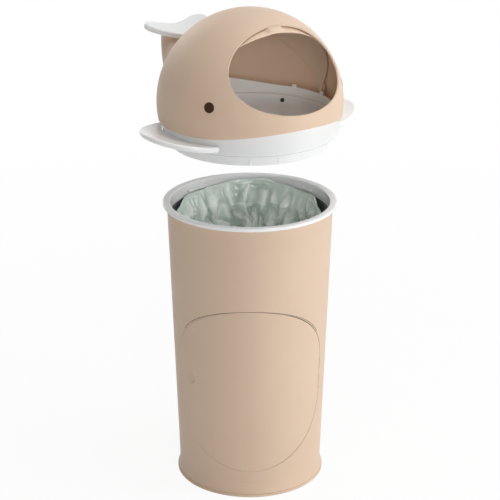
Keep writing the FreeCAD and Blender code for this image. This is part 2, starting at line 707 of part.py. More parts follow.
fin_screws = []
fin_screw_z = fin_low + FIN_THICKNESS / 2
for side, name in ((1, "fin_left"), (-1, "fin_right")):
    paddle = fin(side)
    for spread in (-1, 1):
        out = around(1, side * SIDE_ANGLE + spread * FIN_SCREW_SPREAD_ANGLE, 0)
        seat = around(collar_inner, side * SIDE_ANGLE + spread * FIN_SCREW_SPREAD_ANGLE, fin_screw_z)
        fixing = screw(seat, out, FIN_SCREW_LENGTH)
        fin_screws.append(fixing)
        paddle = paddle.cut(fixing)
        collar = collar.cut(fixing)
    write(name, on_lid(paddle))
write("fin_screws", on_lid(group(fin_screws)))

# Gasket: a flat ring in a groove under the collar's flange
gasket_top = LID_LOW + GASKET_THICKNESS - GASKET_PROUD
collar = collar.cut(ring(GASKET_OUTER_RADIUS, GASKET_INNER_RADIUS, LID_LOW - CUT_OVERLAP, gasket_top))
write("lid_gasket", ring(GASKET_OUTER_RADIUS, GASKET_INNER_RADIUS, LID_LOW - GASKET_PROUD, gasket_top))
write("lid_collar", on_lid(collar.removeSplitter()))

# Dome: a spherical shell with an oval mouth, and a ledge inside that stands on the collar
dome = Part.makeSphere(DOME_RADIUS, HEAD_CENTRE)
dome = dome.cut(Part.makeSphere(DOME_RADIUS - DOME_WALL, HEAD_CENTRE))
dome = dome.cut(below_seam(0))
ledge = Part.makeSphere(DOME_RADIUS - DOME_WALL / 2, HEAD_CENTRE).common(below_seam(SEAM_LEDGE))
ledge = ledge.cut(below_seam(0)).cut(Part.makeCylinder(collar_inner, LID_LOW + CUT_REACH))
dome = dome.fuse(ledge)
oval = Part.Face(Part.Wire(Part.Ellipse(ORIGIN, MOUTH_HALF_WIDTH, MOUTH_HALF_HEIGHT).toShape()))
mouth = oval.extrude(Vector(0, 0, 2 * DOME_RADIUS))
mouth.rotate(ORIGIN, Vector(1, 0, 0), 90 - MOUTH_ANGLE)
mouth.translate(HEAD_CENTRE)
dome = dome.cut(mouth)

# Eyes: round buttons in shallow seats
eye_level = math.asin(EYE_HEIGHT / DOME_RADIUS)
for side, name in ((1, "eye_left"), (-1, "eye_right")):
    flat = around(math.cos(eye_level), side * EYE_ANGLE, 0)
    look = Vector(flat.x, flat.y, math.sin(eye_level))
    seat = HEAD_CENTRE + look * (DOME_RADIUS - EYE_RECESS)
    eye = Part.makeCylinder(EYE_RADIUS, EYE_RECESS + EYE_PROUD, seat, look)
    dome = dome.cut(eye)
    crown = seat + look * (EYE_RECESS + EYE_PROUD)
    rim_edges = [e for e in eye.Edges if abs((e.CenterOfMass - crown).Length) < 1e-6]
    write(name, on_lid(eye.makeFillet(EYE_EDGE, rim_edges)))

# Visor: a lune between two planes through the pivots, with round ears and a grip
visor_outer = DOME_RADIUS - DOME_WALL - VISOR_GAP
visor_inner = visor_outer - VISOR_WALL
ACROSS = Vector(1, 0, 0)


def lune(outer, inner, front, span):
    """A spherical shell between two planes through the pivots, counted up from the front."""
    arcs = [
        Part.Arc(
            HEAD_CENTRE - ACROSS * r, HEAD_CENTRE + Vector(0, -r, 0), HEAD_CENTRE + ACROSS * r
        ).toShape()
        for r in (outer, inner)
    ]
    ends = [
        Part.makeLine(HEAD_CENTRE + ACROSS * w * inner, HEAD_CENTRE + ACROSS * w * outer) for w in (-1, 1)
    ]
    face = Part.Face(Part.Wire(Part.__sortEdges__(arcs + ends)))
    face.rotate(HEAD_CENTRE, ACROSS, -front)
    return face.revolve(HEAD_CENTRE, ACROSS, -span)


visor = lune(visor_outer, visor_inner, VISOR_FRONT_ANGLE, VISOR_SPAN_ANGLE)
ball = Part.makeSphere(visor_outer, HEAD_CENTRE).cut(Part.makeSphere(visor_inner, HEAD_CENTRE))
for side in (-1, 1):
    out = ACROSS * side
    ear = Part.makeCylinder(VISOR_EAR_RADIUS, visor_outer, HEAD_CENTRE, out)
    visor = visor.fuse(ball.common(ear))
grip_corner = HEAD_CENTRE - Vector(GRIP_WIDTH / 2, CUT_REACH, 0)
grip_block = Part.makeBox(GRIP_WIDTH, CUT_REACH, CUT_REACH, grip_corner)
grip = lune(DOME_RADIUS, visor_inner, VISOR_FRONT_ANGLE + GRIP_START_ANGLE, GRIP_SPAN_ANGLE)
grip = grip.common(grip_block)
pivots = []
for side in (-1, 1):
    out = ACROSS * side
    head_end = visor_inner - FIT_CLEARANCE - PIVOT_HEAD_RADIUS**2 / (2 * visor_inner)
    shoulder_start = visor_outer + FIT_CLEARANCE
    shoulder_end = DOME_RADIUS - DOME_WALL - PIVOT_SHOULDER_RADIUS**2 / (2 * DOME_RADIUS)
    seat_end = DOME_RADIUS - DOME_WALL + PIVOT_SEAT
    pin = Part.makeCylinder(
        PIVOT_HEAD_RADIUS, PIVOT_HEAD_HEIGHT, HEAD_CENTRE + out * (head_end - PIVOT_HEAD_HEIGHT), out
    )
    pin = pin.fuse(Part.makeCylinder(PIVOT_RADIUS, seat_end - head_end, HEAD_CENTRE + out * head_end, out))
    shoulder = Part.makeCylinder(
        PIVOT_SHOULDER_RADIUS, shoulder_end - shoulder_start, HEAD_CENTRE + out * shoulder_start, out
    )
    pin = pin.fuse(shoulder).removeSplitter()
    pivots.append(pin)
    bore = Part.makeCylinder(PIVOT_RADIUS + PIN_RUNNING, visor_outer + CUT_OVERLAP, HEAD_CENTRE, out)
    visor = visor.cut(bore)
    dome = dome.cut(pin)
write("visor", on_lid(visor.fuse(grip).removeSplitter()))
write("visor_pins", on_lid(group(pivots)))

# Tail stalk: flares out of the dome's back and turns up
tip_place = HEAD_CENTRE + Vector(0, DOME_RADIUS + TAIL_REACH, TAIL_RISE)


def oval_at(y, z, half_width, half_depth, climb):
    """An oval section across the stalk, square to a direction that climbs by an angle."""
    wire = Part.Wire(Part.Ellipse(ORIGIN, half_width, half_depth).toShape())
    wire.rotate(ORIGIN, ACROSS, climb - 90)
    wire.translate(HEAD_CENTRE + Vector(0, y, z))
    return wire


flare = oval_at(
    DOME_RADIUS - TAIL_FLARE_INSET,
    TAIL_ROOT_RISE,
    TAIL_FLARE_HALF_WIDTH,
    TAIL_FLARE_HALF_HEIGHT,
    TAIL_FLARE_ANGLE,
)
neck = oval_at(
    DOME_RADIUS + TAIL_NECK_REACH,
    TAIL_NECK_RISE,
    TAIL_NECK_HALF_WIDTH,
    TAIL_NECK_HALF_HEIGHT,
    TAIL_NECK_ANGLE,
)
bend = oval_at(
    DOME_RADIUS + TAIL_BEND_REACH, TAIL_BEND_RISE, TAIL_HALF_WIDTH, TAIL_HALF_DEPTH, TAIL_BEND_ANGLE
)
tip = oval_at(
    DOME_RADIUS + TAIL_REACH,
    TAIL_RISE + FLUKE_THICKNESS,
    TAIL_TIP_HALF_WIDTH,
    TAIL_TIP_HALF_DEPTH,
    TAIL_TIP_ANGLE,
)
stalk = Part.makeLoft([flare, neck, bend, tip], True, False)
stalk = stalk.cut(Part.makeSphere(DOME_RADIUS, HEAD_CENTRE))

# Tail fluke: a plate across the stalk's top, its tips raised
fluke_curve = (FLUKE_HALF_SPAN**2 + FLUKE_TIP_RISE**2) / (2 * FLUKE_TIP_RISE)
curve_start = tip_place + Vector(0, -2 * FLUKE_CHORD, fluke_curve)
BACK = Vector(0, 1, 0)
under_fluke = Part.makeCylinder(fluke_curve, 4 * FLUKE_CHORD, curve_start, BACK)
over_fluke = Part.makeCylinder(fluke_curve - FLUKE_THICKNESS, 4 * FLUKE_CHORD, curve_start, BACK)
half_chord = FLUKE_CHORD / 2
outline = Part.BSplineCurve()
outline.interpolate(
    [
        Vector(0, half_chord - FLUKE_NOTCH, 0),
        Vector(0.42 * FLUKE_HALF_SPAN, 0.86 * half_chord, 0),
        Vector(0.82 * FLUKE_HALF_SPAN, 0.98 * half_chord, 0),
        Vector(FLUKE_HALF_SPAN, 0.52 * half_chord, 0),
        Vector(0.74 * FLUKE_HALF_SPAN, -0.30 * half_chord, 0),
        Vector(0.30 * FLUKE_HALF_SPAN, -0.92 * half_chord, 0),
        Vector(0, -half_chord, 0),
        Vector(-0.30 * FLUKE_HALF_SPAN, -0.92 * half_chord, 0),
        Vector(-0.74 * FLUKE_HALF_SPAN, -0.30 * half_chord, 0),
        Vector(-FLUKE_HALF_SPAN, 0.52 * half_chord, 0),
        Vector(-0.82 * FLUKE_HALF_SPAN, 0.98 * half_chord, 0),
        Vector(-0.42 * FLUKE_HALF_SPAN, 0.86 * half_chord, 0),
    ],
    PeriodicFlag=True,
)
plan = Part.Face(Part.Wire(outline.toShape())).extrude(UP * (2 * FLUKE_TIP_RISE + 2 * FLUKE_THICKNESS))
plan.translate(tip_place - UP * FLUKE_THICKNESS)
fluke = under_fluke.cut(over_fluke).common(plan)
fluke = fluke.makeFillet(FLUKE_ROUND, [e for e in fluke.Edges if e.Length > FLUKE_HALF_SPAN])
fluke.rotate(tip_place, ACROSS, FLUKE_PITCH_ANGLE)
under_fluke.rotate(tip_place, ACROSS, FLUKE_PITCH_ANGLE)
stalk = stalk.cut(under_fluke)
write("tail_fluke", on_lid(fluke))

# Tail screws: from inside the dome into the stalk's root
tail_screws = []
for lift in (-1, 1):
    climb = math.asin((TAIL_ROOT_RISE + lift * TAIL_HALF_DEPTH / 2) / DOME_RADIUS)
    out = Vector(0, math.cos(climb), math.sin(climb))
    seat = HEAD_CENTRE + out * (DOME_RADIUS - DOME_WALL + FIT_CLEARANCE)
    fixing = screw(seat, out, TAIL_SCREW_LENGTH)
    dome = dome.cut(fixing)
    stalk = stalk.cut(fixing)
    tail_screws.append(fixing)
write("tail_screws", on_lid(group(tail_screws)))
write("tail_stalk", on_lid(stalk))
write("dome_shell", on_lid(dome))
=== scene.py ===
"""A diaper pail with its whale-shaped lid held above the rim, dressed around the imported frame."""

import math

import bmesh
import bpy
import numpy as np
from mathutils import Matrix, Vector, noise


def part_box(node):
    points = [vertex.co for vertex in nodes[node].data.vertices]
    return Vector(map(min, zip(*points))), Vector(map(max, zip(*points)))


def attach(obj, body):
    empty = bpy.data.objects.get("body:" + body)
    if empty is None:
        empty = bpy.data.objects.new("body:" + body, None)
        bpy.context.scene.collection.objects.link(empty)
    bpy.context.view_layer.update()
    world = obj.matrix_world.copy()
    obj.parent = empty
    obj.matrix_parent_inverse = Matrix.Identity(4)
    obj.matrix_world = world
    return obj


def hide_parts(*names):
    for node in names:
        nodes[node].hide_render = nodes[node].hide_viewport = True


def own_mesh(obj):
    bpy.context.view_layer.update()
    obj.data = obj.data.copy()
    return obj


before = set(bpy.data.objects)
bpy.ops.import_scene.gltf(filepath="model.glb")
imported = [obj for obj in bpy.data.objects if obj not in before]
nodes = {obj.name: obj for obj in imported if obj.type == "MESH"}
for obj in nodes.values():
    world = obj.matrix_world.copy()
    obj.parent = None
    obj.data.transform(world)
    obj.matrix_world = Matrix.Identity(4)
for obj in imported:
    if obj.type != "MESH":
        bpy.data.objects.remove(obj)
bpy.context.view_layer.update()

# Camera: a long lens a little above the lid, looking slightly down at the door.
camera_place = Vector((0.0, -2.66, 1.41))
camera_aim = Vector((0.0, 0.0, 0.40))
picture_pixels = 500
focal_pixels = 1694
camera_data = bpy.data.cameras.new("camera")
camera_data.sensor_width = 36.0
camera_data.lens = camera_data.sensor_width * focal_pixels / picture_pixels
camera = bpy.data.objects.new("camera", camera_data)
camera.location = camera_place
camera.rotation_euler = (camera_aim - camera_place).to_track_quat("-Z", "Y").to_euler()
bpy.context.scene.collection.objects.link(camera)
bpy.context.scene.camera = camera
bpy.context.scene.view_settings.view_transform = "Standard"


def colour(code):
    """An sRGB hex value as linear red, green, blue and alpha."""
    parts = [int(code[i : i + 2], 16) / 255 for i in (1, 3, 5)]
    return [c / 12.92 if c <= 0.04045 else ((c + 0.055) / 1.055) ** 2.4 for c in parts] + [1.0]


def add(tree, kind, inputs=None, **settings):
    """Adds a node with its settings. Each input is a value, or a socket to link from."""
    made = tree.nodes.new(kind)
    for name, value in settings.items():
        setattr(made, name, value)
    for name, value in (inputs or {}).items():
        if isinstance(value, bpy.types.NodeSocket):
            tree.links.new(value, made.inputs[name])
        else:
            made.inputs[name].default_value = value
    return made


# Studio: a white sweep seen as plain white, a large soft lamp low at the right, one beside
# the camera that looks into the mouth, one on top, and weak ones at the left and the back.
def seen_share(tree, share):
    """How much of the plain white a ray gets: all of share when it comes from the picture or a reflection."""
    path = add(tree, "ShaderNodeLightPath")
    direct = path.outputs["Is Camera Ray"]
    mirrored = path.outputs["Is Glossy Ray"]
    through = path.outputs["Is Transmission Ray"]
    either = add(tree, "ShaderNodeMath", {0: direct, 1: mirrored}, operation="MAXIMUM")
    either = add(tree, "ShaderNodeMath", {0: either.outputs[0], 1: through}, operation="MAXIMUM")
    return add(tree, "ShaderNodeMath", {0: either.outputs[0], 1: share}, operation="MULTIPLY").outputs[0]


world = bpy.data.worlds.new("studio")
bpy.context.scene.world = world
world.use_nodes = True
tree = world.node_tree
tree.nodes.clear()
soft_light = add(tree, "ShaderNodeBackground", {"Color": colour("#FFFFFF"), "Strength": 0.235})
plain_white = add(tree, "ShaderNodeBackground", {"Color": colour("#FFFFFF"), "Strength": 1.0})
shares = {0: seen_share(tree, 1.0), 1: soft_light.outputs[0], 2: plain_white.outputs[0]}
sky = add(tree, "ShaderNodeMixShader", shares)
add(tree, "ShaderNodeOutputWorld", {"Surface": sky.outputs[0]})

lamps = {
    "key": ((2.65, -0.72, 0.85), 1.8, 42.5),
    "front": ((0.5, -2.7, 1.35), 0.7, 18.0),
    "left": ((-2.4, -0.9, 1.1), 1.4, 3.0),
    "top": ((0.5, 0.0, 2.8), 1.2, 26.0),
    "back": ((-1.4, 2.5, 1.5), 1.2, 9.0),
}
for name, (place, size, power) in lamps.items():
    lamp_data = bpy.data.lights.new(name, "AREA")
    lamp_data.size = size
    lamp_data.energy = power
    lamp = bpy.data.objects.new(name, lamp_data)
    lamp.location = place
    lamp.rotation_euler = (camera_aim - Vector(place)).to_track_quat("-Z", "Y").to_euler()
    bpy.context.scene.collection.objects.link(lamp)

floor_half = 9.0
floor_mesh = bpy.data.meshes.new("floor")
floor_mesh.from_pydata(
    [(x * floor_half, y * floor_half, 0) for x, y in ((-1, -1), (1, -1), (1, 1), (-1, 1))], [], [(0, 1, 2, 3)]
)
floor = bpy.data.objects.new("floor", floor_mesh)
bpy.context.scene.collection.objects.link(floor)
paper = bpy.data.materials.new("white_paper_sweep")
paper.use_nodes = True
tree = paper.node_tree
tree.nodes.clear()
matt = add(tree, "ShaderNodeBsdfDiffuse", {"Color": colour("#FAFAFA")})
glow = add(tree, "ShaderNodeEmission", {"Color": colour("#FFFFFF"), "Strength": 1.0})
spot = add(tree, "ShaderNodeTexCoord").outputs["Object"]
distance = add(tree, "ShaderNodeVectorMath", {0: spot}, operation="LENGTH").outputs["Value"]
white_share = add(
    tree, "ShaderNodeMapRange", {"Value": distance, "From Max": 2.0, "To Min": 0.91, "To Max": 1.0}
)
shares = {0: seen_share(tree, white_share.outputs[0]), 1: matt.outputs[0], 2: glow.outputs[0]}
mixed = add(tree, "ShaderNodeMixShader", shares)
add(tree, "ShaderNodeOutputMaterial", {"Surface": mixed.outputs[0]})
floor_mesh.materials.append(paper)


# Beige shells: moulded polypropylene with a satin spark finish. It gives the eye a soft
# broad highlight, faint cloudiness from the mould's flow, and a grain only seen close up.
def moulded(name, light, dark, smooth, rough, flow_mm, grain_mm, grain_depth_mm, through=0.0):
    """A moulded plastic: its tone and gloss drift over flow_mm, and its skin has a grain of grain_mm."""
    made = bpy.data.materials.new(name)
    made.use_nodes = True
    tree = made.node_tree
    shader = tree.nodes["Principled BSDF"]
    place = add(tree, "ShaderNodeTexCoord").outputs["Object"]
    cloud = {"Vector": place, "Scale": 1000 / flow_mm, "Detail": 3.0}
    flow = add(tree, "ShaderNodeTexNoise", cloud).outputs[0]
    tone = add(tree, "ShaderNodeMix", {0: flow, 6: colour(light), 7: colour(dark)}, data_type="RGBA")
    gloss = add(tree, "ShaderNodeMapRange", {"Value": flow, "To Min": smooth, "To Max": rough})
    pits = {"Vector": place, "Scale": 1000 / grain_mm, "Detail": 2.0}
    grain = add(tree, "ShaderNodeTexNoise", pits).outputs[0]
    skin = add(tree, "ShaderNodeBump", {"Strength": 0.5, "Distance": grain_depth_mm / 1000, "Height": grain})
    tree.links.new(tone.outputs[2], shader.inputs["Base Color"])
    tree.links.new(gloss.outputs[0], shader.inputs["Roughness"])
    tree.links.new(skin.outputs[0], shader.inputs["Normal"])
    shader.inputs["IOR"].default_value = 1.49
    shader.inputs["Subsurface Weight"].default_value = through
    shader.inputs["Subsurface Radius"].default_value = (1.0, 0.95, 0.9)
    shader.inputs["Subsurface Scale"].default_value = 0.006
    return made


def dress(material, *names):
    """Gives CAD nodes a material."""
    for name in names:
        nodes[name].data.materials.clear()
        nodes[name].data.materials.append(material)


# The real grain is about 0.3 mm. It is drawn coarser so that it shows at all.
beige = moulded("satin_polypropylene_beige", "#DDC4AD", "#D6BCA5", 0.46, 0.54, 140, 2.2, 0.05, 0.3)
beige.node_tree.nodes["Principled BSDF"].inputs["Specular IOR Level"].default_value = 0.3
dress(beige, "pail_shell", "base_plate", "door_keeper")

# Door: a curved panel of the same moulding that closes flush in the front of the pail.
# It turns on two short steel pins at its right edge. A thin dark brown bead lies in the gap over its top,
# painted shade that darkens the gap; round the rest of the opening the jamb has a narrow stop just under the
# surface.
dress(beige, "access_door", "door_catch")
steel = moulded("zinc_plated_steel", "#B9BBBD", "#A9ABAE", 0.28, 0.38, 20, 1.2, 0.02)
steel.node_tree.nodes["Principled BSDF"].inputs["Metallic"].default_value = 1.0
dress(steel, "hinge_pins", "base_screws", "fin_screws", "tail_screws")
# Dark brown for the bead in the door's top gap: painted shade of the gap.
gap_shade_brown = moulded("painted_gap_shade_brown", "#66523F", "#5C4937", 0.6, 0.7, 20, 1.5, 0.03)

bead_tree = bpy.data.node_groups.new("bead_along_a_path", "GeometryNodeTree")
bead_tree.interface.new_socket("Path", in_out="INPUT", socket_type="NodeSocketGeometry")
bead_radius_id = bead_tree.interface.new_socket(
    "Bead radius", in_out="INPUT", socket_type="NodeSocketFloat"
).identifier
bead_finish_id = bead_tree.interface.new_socket(
    "Finish", in_out="INPUT", socket_type="NodeSocketMaterial"
).identifier
bead_tree.interface.new_socket("Bead", in_out="OUTPUT", socket_type="NodeSocketGeometry")
given = add(bead_tree, "NodeGroupInput")
line = add(bead_tree, "GeometryNodeMeshToCurve", {"Mesh": given.outputs["Path"]})
profile = add(
    bead_tree, "GeometryNodeCurvePrimitiveCircle", {"Resolution": 10, "Radius": given.outputs["Bead radius"]}
)
tube = add(
    bead_tree,
    "GeometryNodeCurveToMesh",
    {"Curve": line.outputs[0], "Profile Curve": profile.outputs[0], "Fill Caps": True},
)
real = add(bead_tree, "GeometryNodeRealizeInstances", {"Geometry": tube.outputs[0]})
finished = add(
    bead_tree,
    "GeometryNodeSetMaterial",
    {"Geometry": real.outputs[0], "Material": given.outputs["Finish"]},
)
add(bead_tree, "NodeGroupOutput", {"Bead": finished.outputs[0]})


def plain(piece):
    """Turns what a piece's modifiers give into its own plain mesh."""
    made = bpy.data.meshes.new_from_object(piece.evaluated_get(bpy.context.evaluated_depsgraph_get()))
    piece.modifiers.clear()
    piece.data = made
    for face in made.polygons:
        face.use_smooth = True


def bead(name, points, closed, radius, finish):
    """A round bead through points, in metres."""
    last = len(points) if closed else len(points) - 1
    path = bpy.data.meshes.new(name)
    path.from_pydata(points, [(i, (i + 1) % len(points)) for i in range(last)], [])
    piece = bpy.data.objects.new(name, path)
    bpy.context.scene.collection.objects.link(piece)
    lay = piece.modifiers.new("lay", "NODES")
    lay.node_group = bead_tree
    lay[bead_radius_id] = radius
    lay[bead_finish_id] = finish
    plain(piece)
    return piece


wall_foot_radius = 0.1222
wall_taper = 0.034348
foot_height = 0.024
door_mean_radius = 0.12806
door_half_width = math.radians(65.5) * door_mean_radius
door_gap = 0.00055
top_spring, top_arch = 0.230, 0.112
low_spring, low_arch = 0.167, 0.120


def on_wall(across, z, depth):
    """A point under the pail's surface, across being measured along the wall from the door's middle."""
    radius = wall_foot_radius + wall_taper * (z - foot_height) - depth
    a = across / door_mean_radius
    return (radius * math.sin(a), -radius * math.cos(a), z)


def on_arch(spring, arch, degrees, depth):
    """A point in the middle of the door's gap, degrees running from the hinge side over the top."""
    a = math.radians(degrees)
    reach = door_half_width + door_gap / 2
    return on_wall(reach * math.cos(a), spring + (arch + door_gap / 2) * math.sin(a), depth)


# The bead in the door's top gap, dark so that the gap reads as shade: painted shade.
gap_shade_radius, gap_shade_depth = 0.00065, 0.00048
gap_shade_path = [on_arch(top_spring, top_arch, a, gap_shade_depth) for a in range(28, 149, 2)]
door_gap_shade_bead = bead("door_gap_shade_bead", gap_shade_path, False, gap_shade_radius, gap_shade_brown)
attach(door_gap_shade_bead, "pail")
stop_radius, stop_depth = 0.00044, 0.0007
stop_path = [on_arch(top_spring, top_arch, a, stop_depth) for a in range(151, 181, 2)]
stop_path += [on_arch(low_spring, low_arch, a, stop_depth) for a in range(180, 271, 2)]
door_stop = bead("door_stop", stop_path, False, stop_radius, beige)
hinge_stop_radius, hinge_stop_depth = 0.0008, 0.0010
hinge_stop_path = [on_arch(low_spring, low_arch, a, hinge_stop_depth) for a in range(270, 347, 2)]
hinge_stop = bead("door_stop_hinge_side", hinge_stop_path, False, hinge_stop_radius, beige)
for stop in (door_stop, hinge_stop):
    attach(stop, "pail")


# Finger ramp: the floor of the door's dimple. It falls away gently and climbs again at the upper right,
# so that a fingertip catches behind that side. It is part of the door's moulding.
def eased(value, low, high):
    """Goes smoothly from 0 at low to 1 at high."""
    t = min(1.0, max(0.0, (value - low) / (high - low)))
    return t * t * (3 - 2 * t)


dimple_turn = math.radians(-50.0)
dimple_z = 0.202
dimple_radius = 0.0095
dimple_out = Vector((math.sin(dimple_turn), -math.cos(dimple_turn), -wall_taper)).normalized()
dimple_right = Vector((math.cos(dimple_turn), math.sin(dimple_turn), 0))
dimple_up = dimple_out.cross(dimple_right)
dimple_place = Vector(on_wall(dimple_turn * door_mean_radius, dimple_z, 0))
ramp_around = 40
ramp_rings = 8
ramp_wall = 0.0012
ramp_fit = 0.985
ramp_edge_depth = 0.0002
scoop_depth = 0.0036
deepest_at = 0.3
fall_right, fall_up = 0.8, 0.6
ramp_points = []
for layer in (0.0, ramp_wall):
    ramp_points.append((0.0, 0.0, layer))
    for ring_step in range(1, ramp_rings + 1):
        for k in range(ramp_around):
            a = 2 * math.pi * k / ramp_around
            reach = dimple_radius * ramp_fit * ring_step / ramp_rings
            ramp_points.append((reach * math.cos(a), reach * math.sin(a), layer))
ramp_places = []
for right, up, layer in ramp_points:
    fall = (right * fall_right + up * fall_up) / dimple_radius
    scoop = eased(fall, -1.0, deepest_at) * (1 - eased(fall, deepest_at, 1.05))
    wall_curve = 0.5 * right * right / door_mean_radius
    depth = ramp_edge_depth + scoop_depth * scoop + wall_curve + layer
    ramp_places.append(dimple_place + dimple_right * right + dimple_up * up - dimple_out * depth)
ramp_faces = []
layer_size = 1 + ramp_rings * ramp_around
for k in range(ramp_around):
    n = (k + 1) % ramp_around
    ramp_faces.append((0, 1 + k, 1 + n))
    ramp_faces.append((layer_size, layer_size + 1 + n, layer_size + 1 + k))
    for ring_step in range(ramp_rings - 1):
        near_row = 1 + ring_step * ramp_around
        far_row = near_row + ramp_around
        ramp_faces.append((near_row + k, far_row + k, far_row + n, near_row + n))
        under_near = layer_size + near_row
        under_far = layer_size + far_row
        ramp_faces.append((under_near + n, under_far + n, under_far + k, under_near + k))
    rim_row = 1 + (ramp_rings - 1) * ramp_around
    ramp_faces.append((rim_row + k, layer_size + rim_row + k, layer_size + rim_row + n, rim_row + n))
ramp_mesh = bpy.data.meshes.new("finger_ramp")
ramp_mesh.from_pydata(ramp_places, [], ramp_faces)
ramp_mesh.materials.append(beige)
for face in ramp_mesh.polygons:
    face.use_smooth = True
finger_ramp = bpy.data.objects.new("finger_ramp", ramp_mesh)
bpy.context.scene.collection.objects.link(finger_ramp)
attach(finger_ramp, "door")

# Rim ring: glossy white ABS that drops into the top of the pail, with four lugs inside
# that the lid's plug clicks under. Its polish gives a clear highlight along the edge.
white = moulded("gloss_abs_white", "#EFEFEE", "#EAEBEB", 0.20, 0.27, 90, 3.0, 0.02, 0.6)
dress(white, "rim_ring")

# Bag hoop: a black polypropylene funnel under the ring that the bag hangs from.
# Thin ribs stand on its inside all the way round and grip the film.
black = moulded("matt_polypropylene_black", "#3A3D3E", "#313435", 0.45, 0.55, 60, 1.6, 0.06)
dress(black, "bag_hoop")
hoop_low, hoop_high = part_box("bag_hoop")
hoop_narrowing = 0.0112
hoop_slope = math.atan2(hoop_narrowing, hoop_high.z - hoop_low.z)
rib_tree = bpy.data.node_groups.new("ribs_round_a_hoop", "GeometryNodeTree")
rib_tree.interface.new_socket("Start", in_out="INPUT", socket_type="NodeSocketGeometry")
rib_inputs = {}
rib_kinds = {"Count": "Int", "Hoop radius": "Float", "Rib size": "Vector", "Lean": "Float"}
for socket_name, kind in rib_kinds.items():
    made_socket = rib_tree.interface.new_socket(
        socket_name, in_out="INPUT", socket_type="NodeSocket" + kind
    )
    rib_inputs[socket_name] = made_socket.identifier
rib_tree.interface.new_socket("Ribs", in_out="OUTPUT", socket_type="NodeSocketGeometry")
given = add(rib_tree, "NodeGroupInput")
hoop_ring = add(
    rib_tree,
    "GeometryNodeMeshCircle",
    {"Vertices": given.outputs["Count"], "Radius": given.outputs["Hoop radius"]},
)
stick = add(rib_tree, "GeometryNodeMeshCube", {"Size": given.outputs["Rib size"]})
lean = add(rib_tree, "ShaderNodeCombineXYZ", {"Y": given.outputs["Lean"]})
leaning = add(rib_tree, "GeometryNodeTransform", {"Geometry": stick.outputs[0], "Rotation": lean.outputs[0]})
outward = add(rib_tree, "GeometryNodeInputPosition")
facing = add(
    rib_tree, "FunctionNodeAlignRotationToVector", {"Vector": outward.outputs[0]}, axis="X", pivot_axis="Z"
)
ribs = add(
    rib_tree,
    "GeometryNodeInstanceOnPoints",
    {"Points": hoop_ring.outputs[0], "Instance": leaning.outputs[0], "Rotation": facing.outputs[0]},
)
raised = add(
    rib_tree,
    "GeometryNodeTransform",
    {"Geometry": ribs.outputs[0], "Translation": (0, 0, (hoop_low.z + hoop_high.z) / 2)},
)
real = add(rib_tree, "GeometryNodeRealizeInstances", {"Geometry": raised.outputs[0]})
finished = add(rib_tree, "GeometryNodeSetMaterial", {"Geometry": real.outputs[0], "Material": black})
add(rib_tree, "NodeGroupOutput", {"Ribs": finished.outputs[0]})
hoop_ribs = bpy.data.objects.new("hoop_ribs", bpy.data.meshes.new("hoop_ribs"))
bpy.context.scene.collection.objects.link(hoop_ribs)
set_ribs = hoop_ribs.modifiers.new("ribs", "NODES")
set_ribs.node_group = rib_tree
set_ribs[rib_inputs["Count"]] = 72
set_ribs[rib_inputs["Hoop radius"]] = 0.1265
set_ribs[rib_inputs["Rib size"]] = (0.0022, 0.0014, 0.0215)
set_ribs[rib_inputs["Lean"]] = hoop_slope
plain(hoop_ribs)
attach(hoop_ribs, "pail")

# Bag: thin low-density polyethylene film, pale green and milky. It is hung over the hoop and
# pulled in at both sides. It is blown as a tube, wider than the pail, so its slack settles in creases.
bag_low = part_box("waste_bag")[0]
ring_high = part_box("rim_ring")[1]


def near(value, middle, width):
    """1 at the middle, fading to 0 a few widths away."""
    return math.exp(-(((value - middle) / width) ** 2))


film_edge_radius = 0.1308
film_neck_radius = 0.1192
film_floor_radius = 0.100
floor_corner = 0.030
film_clearance = 0.0006


def film_limit(z):
    """How far out the film may lie: inside the ring, down the hoop's slope, then towards the bag's floor."""
    if z > hoop_high.z:
        return film_edge_radius
    if z > hoop_low.z:
        t = (z - hoop_low.z) / (hoop_high.z - hoop_low.z)
        return film_neck_radius + (film_edge_radius - film_clearance - film_neck_radius) * t
    t = (z - bag_low.z) / (hoop_low.z - bag_low.z)
    return film_floor_radius + (film_neck_radius - film_floor_radius) * t


edge_below_ring = 0.025
back_rise = 0.009
far_rise = 0.0092
crest_rise = 0.0022
right_pull, left_pull = 0.0118, 0.0075


def film_edge(turn):
    """Radius and height of the film's edge at an angle from the door's middle, positive to the right."""
    side = abs(turn)
    back = eased(side, 104, 128)
    front = 1 - eased(side, 50, 84)
    pulled = right_pull if turn > 0 else left_pull
    crest = near(side, 169 if turn > 0 else 191, 6)
    radius = film_edge_radius - pulled * (1 - back) + 0.4 * pulled * front
    far = eased(side, 138, 176)
    height = ring_high.z - edge_below_ring + back_rise * back + far_rise * far + crest_rise * crest
    return radius, height


hang_gap = 0.003
wide_fold, narrow_fold = 0.008, 0.009
pinch_in, pinch_z = 0.006, 0.414


def film_start(turn, drop):
    """Where the film hangs before it settles, drop below its edge."""
    a = math.radians(turn)
    edge_radius, edge_z = film_edge(turn)
    z = edge_z - drop
    hang = film_limit(z) - hang_gap - hang_gap * eased(drop, 0.02, 0.08)
    r = edge_radius + (hang - edge_radius) * eased(drop, 0.0, 0.024)
    spot = Vector((math.sin(a), -math.cos(a), z * 4))
    fold = wide_fold * abs(noise.noise(spot * 2.4)) + narrow_fold * abs(noise.noise(spot * 7.0))
    r -= eased(drop, 0.003, 0.030) * fold
    r -= pinch_in * near(abs(turn), 178, 12) * near(z, pinch_z, 0.018)
    return Vector((r * math.sin(a), -r * math.cos(a), z))


